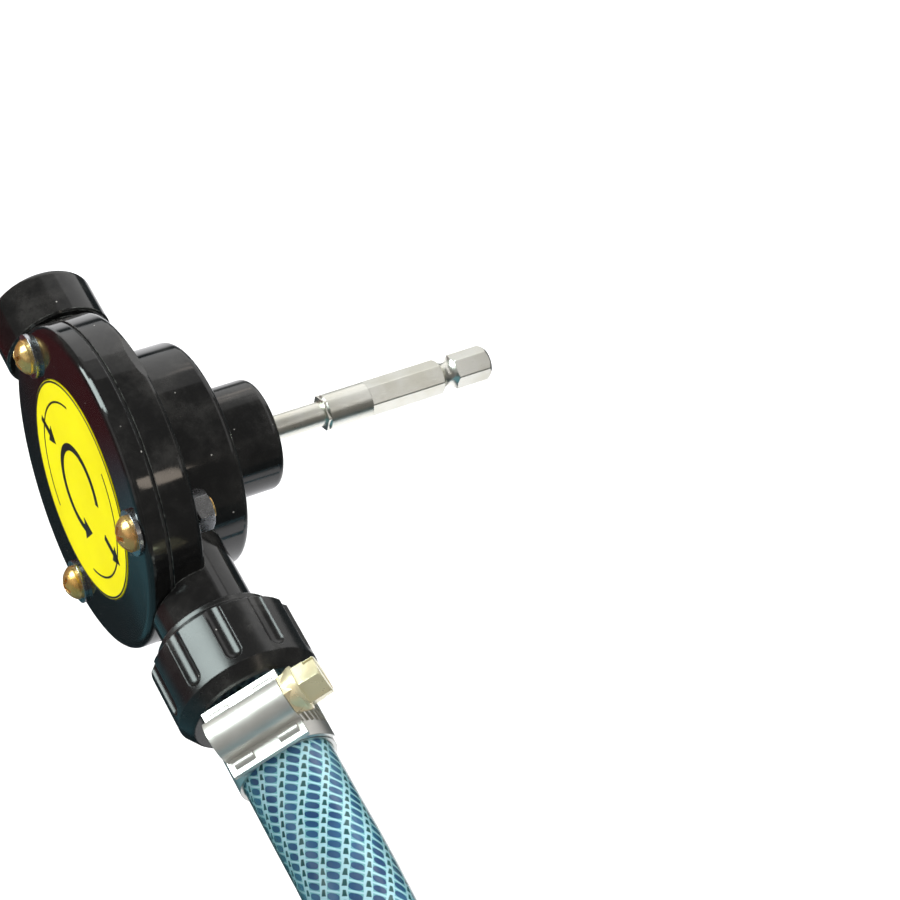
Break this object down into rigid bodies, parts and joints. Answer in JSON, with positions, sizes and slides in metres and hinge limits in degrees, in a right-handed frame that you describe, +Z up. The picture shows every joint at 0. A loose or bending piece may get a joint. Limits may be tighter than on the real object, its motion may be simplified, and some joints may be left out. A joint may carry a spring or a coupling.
{
  "type": "drill powered pump",
  "caption": "Round drill powered pump with a flexible impeller, opposed ports, hex drive shank, union nut, hose clamp and hose.",
  "frame": {"origin": "middle of the hex shank's end face, which bottoms in the drill's chuck", "axes": "+X along the shaft towards the drill, +Y along the inlet port, +Z up"},
  "size_m": [0.2262, 0.4228, 0.1827],
  "materials": {
    "housing_plastic": "glossy moulded black plastic",
    "yellow_label": "printed yellow film, satin",
    "black_rubber": "moulded nitrile rubber",
    "zinc_brass": "yellow zinc plated steel",
    "bright_steel": "polished stainless steel",
    "shaft_steel": "turned and ground steel",
    "bronze": "sintered bronze, satin",
    "union_plastic": "moulded dark grey plastic, satin",
    "hose_pvc": "clear PVC over blue and white braid",
    "tie_nylon": "black nylon strap"
  },
  "bodies": {
    "housing": {"pump_body": "housing_plastic", "front_cover": "housing_plastic", "label_plate": "yellow_label", "cover_gasket": "black_rubber", "cover_screws": "zinc_brass", "screw_washers": "bright_steel", "cover_nuts": "bright_steel", "wear_plate": "bright_steel", "shaft_seal": "black_rubber", "seal_case": "bright_steel", "seal_spring": "bright_steel", "shaft_bush": "bronze", "outlet_tail": "union_plastic", "outlet_washer": "black_rubber", "clamp_band": "bright_steel", "clamp_housing": "bright_steel", "hose_cuff": "hose_pvc", "hose_lead": "hose_pvc", "hose_coil": "hose_pvc", "coil_tie": "tie_nylon"},
    "rotor": {"drive_shaft": "shaft_steel", "impeller_hub": "bronze", "impeller": "black_rubber", "thrust_washer": "bright_steel", "retaining_clip": "bright_steel"},
    "outlet_union": {"outlet_nut": "union_plastic"},
    "clamp_worm": {"clamp_screw": "zinc_brass"}
  },
  "joints": [
    {"name": "shaft_spin", "type": "hinge", "parent": "housing", "child": "rotor", "pos_m": [-0.05, 0, 0], "axis": [-1, 0, 0], "continuous": true, "deforming": ["impeller"]},
    {"name": "outlet_nut_turn", "type": "hinge", "parent": "housing", "child": "outlet_union", "pos_m": [-0.0788, -0.047, 0], "axis": [0, -1, 0], "range_deg": [0, 1890]},
    {"name": "clamp_screw_turn", "type": "hinge", "parent": "housing", "child": "clamp_worm", "pos_m": [-0.08491, -0.064, 0.01198], "axis": [0.891, 0, 0.454], "continuous": true}
  ]
}
